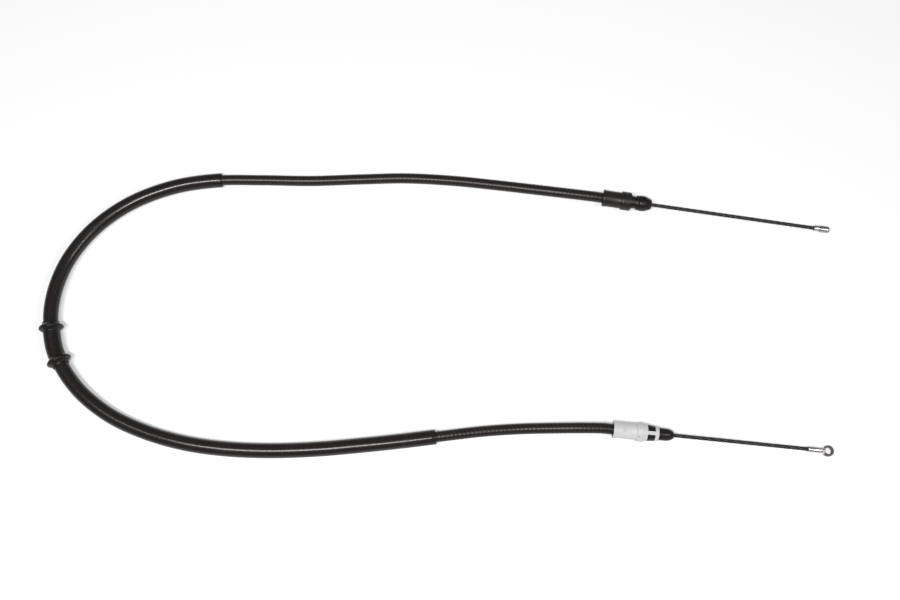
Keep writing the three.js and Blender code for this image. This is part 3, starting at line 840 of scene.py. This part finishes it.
def eye_ring(centre):
    """A ring with a rounded square section around an upright axis."""
    bm = bmesh.new()
    corners = [(EYE_HOLE, -EYE_HALF), (EYE_RADIUS, -EYE_HALF), (EYE_RADIUS, EYE_HALF), (EYE_HOLE, EYE_HALF)]
    verts = [bm.verts.new((radius, 0, z)) for radius, z in corners]
    edges = [bm.edges.new((verts[i - 1], verts[i])) for i in range(4)]
    bmesh.ops.spin(bm, geom=verts + edges, cent=(0, 0, 0), axis=(0, 0, 1), angle=math.tau,
                   steps=64, use_merge=True)
    bmesh.ops.remove_doubles(bm, verts=bm.verts, dist=1e-5)
    bmesh.ops.recalc_face_normals(bm, faces=bm.faces)
    round_edges(bm, 0.35, segments=4)
    bmesh.ops.translate(bm, verts=bm.verts, vec=(centre, 0, 0))
    return bm


shank_to = NECK_TO + (EYE_RADIUS - EYE_HOLE) / 2
shank = turn([
    (TERMINAL_BORE, 0), (TERMINAL_BORE, WIRE_FIT), (0, WIRE_FIT), (0, SHANK_RADIUS),
    (12.3, SHANK_RADIUS), (12.9, NECK_RADIUS), (shank_to, NECK_RADIUS), (shank_to, 0)], 56)
shank = round_edges(shank, 0.3, segments=3)
terminal = combine(shank, eye_ring(NECK_TO + (EYE_RADIUS + EYE_HOLE) / 2), "UNION")
# The eye ring takes the darker colour all over.
soil_and_shade(terminal, lambda spot: 1.0 if spot.x > NECK_TO else 0.0)
bmesh.ops.translate(terminal, verts=terminal.verts, vec=(TERMINAL_AT, 0, 0))
eye_piece = finish_piece("eye_zinc", set_on(terminal, rear_axis), "rear_wire",
                         brights["zinc"], ["eye_terminal"])

# %% [markdown]
# ## What stays from the CAD model
# The coil, the liner, the wire inside the bends, the ferrules and the wire guides are hidden in
# the cable. Their solids are right as they are, and only get their finishes.
# %% Paint the inner pieces
INNER = {
    "casing_coil": "steel", "casing_liner": "nylon", "inner_wire_middle": "rope",
    "front_ferrule": "steel", "rear_ferrule": "steel",
    "front_wire_guide": "nylon", "rear_wire_guide": "nylon",
}
for node, paint in INNER.items():
    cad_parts[node].data.materials.clear()
    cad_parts[node].data.materials.append(brights[paint])
print("painted", len(INNER), "inner pieces")

# %% [markdown]
# ## Points along the cords
# The casing's centre line is sampled every few millimetres, and so is each wire along its
# fitting's axis, from where its rope starts to where it ends.
PATH_STEP = 3.0
casing_path = [tuple(station(x)[0]) for x in stops_between(0.0, casing_length, PATH_STEP)]
tuple(on_axis(front_axis, 0))
for wire, axis, span, tip, end_piece in (
        (front_wire, front_axis, front_span, boot_tip(FRONT, front_nose), nipple_piece),
        (rear_wire, rear_axis, rear_span, boot_tip(REAR, rear_nose), eye_piece)):
    wire_path = [tuple(on_axis(axis, x)) for x in stops_between(*span, PATH_STEP)]
    tuple(on_axis(axis, tip))
    (span[1] - span[0]) * MM

# %% [markdown]
# ## Floor and light
# The photograph has a white ground with a short soft shadow on the right. The floor is a matt
# white sheet that also glows a little where the camera or a shiny surface sees it, which lifts it
# to white and keeps the shadow.
# %% Lay the floor
GLOW_SHARE = 0.4


def floor_paint():
    paint = Paint("floor_paint")
    output = paint.tree.nodes["Material Output"]
    camera_ray, glossy_ray, through_ray = (
        paint.node("ShaderNodeLightPath", {}, {}, kind)
        for kind in ("Is Camera Ray", "Is Glossy Ray", "Is Transmission Ray"))
    seen = camera_ray + glossy_ray + through_ray
    glow = paint.node("ShaderNodeEmission", {}, {"Color": (1, 1, 1, 1), "Strength": 1.0})
    paint.feed(Base_Color=(0.95, 0.95, 0.95, 1.0), Roughness=0.9)
    matt = Wire(paint, paint.shader.outputs[0])
    mixed = paint.node("ShaderNodeMixShader", {}, {0: seen * GLOW_SHARE, 1: matt, 2: glow})
    paint.tree.links.new(mixed.socket, output.inputs["Surface"])
    return paint.material


ground = bmesh.new()
bmesh.ops.create_grid(ground, x_segments=1, y_segments=1, size=3.0)
floor_mesh = bpy.data.meshes.new("floor")
ground.to_mesh(floor_mesh)
ground.free()
floor_mesh.materials.append(floor_paint())
floor = bpy.data.objects.new("floor", floor_mesh)
bpy.context.scene.collection.objects.link(floor)
print("floor laid")


# %% Hang the lamps
def lamp(name, place, size, power, target):
    """A rectangular soft light that looks at a point."""
    light = bpy.data.lights.new(name, "AREA")
    light.shape, light.energy = "RECTANGLE", power
    light.size, light.size_y = size
    holder = bpy.data.objects.new(name, light)
    holder.location = place
    holder.rotation_euler = (Vector(target) - Vector(place)).to_track_quat("-Z", "Y").to_euler()
    bpy.context.scene.collection.objects.link(holder)


lamp("strip", (-0.3, -0.46, 1.5), (0.8, 0.16), 23.0, target=(-0.1, 0.0, 0.0))
lamp("right_window", (0.95, -0.46, 1.5), (0.5, 0.3), 10.0, target=(0.1, 0.0, 0.0))
world = bpy.data.worlds.new("studio")
world.use_nodes = True
world.node_tree.nodes["Background"].inputs["Color"].default_value = (1.0, 1.0, 1.0, 1.0)
world.node_tree.nodes["Background"].inputs["Strength"].default_value = 0.14
bpy.context.scene.world = world
bpy.context.scene.view_settings.view_transform = "Standard"
print("two lamps and a dim sky")
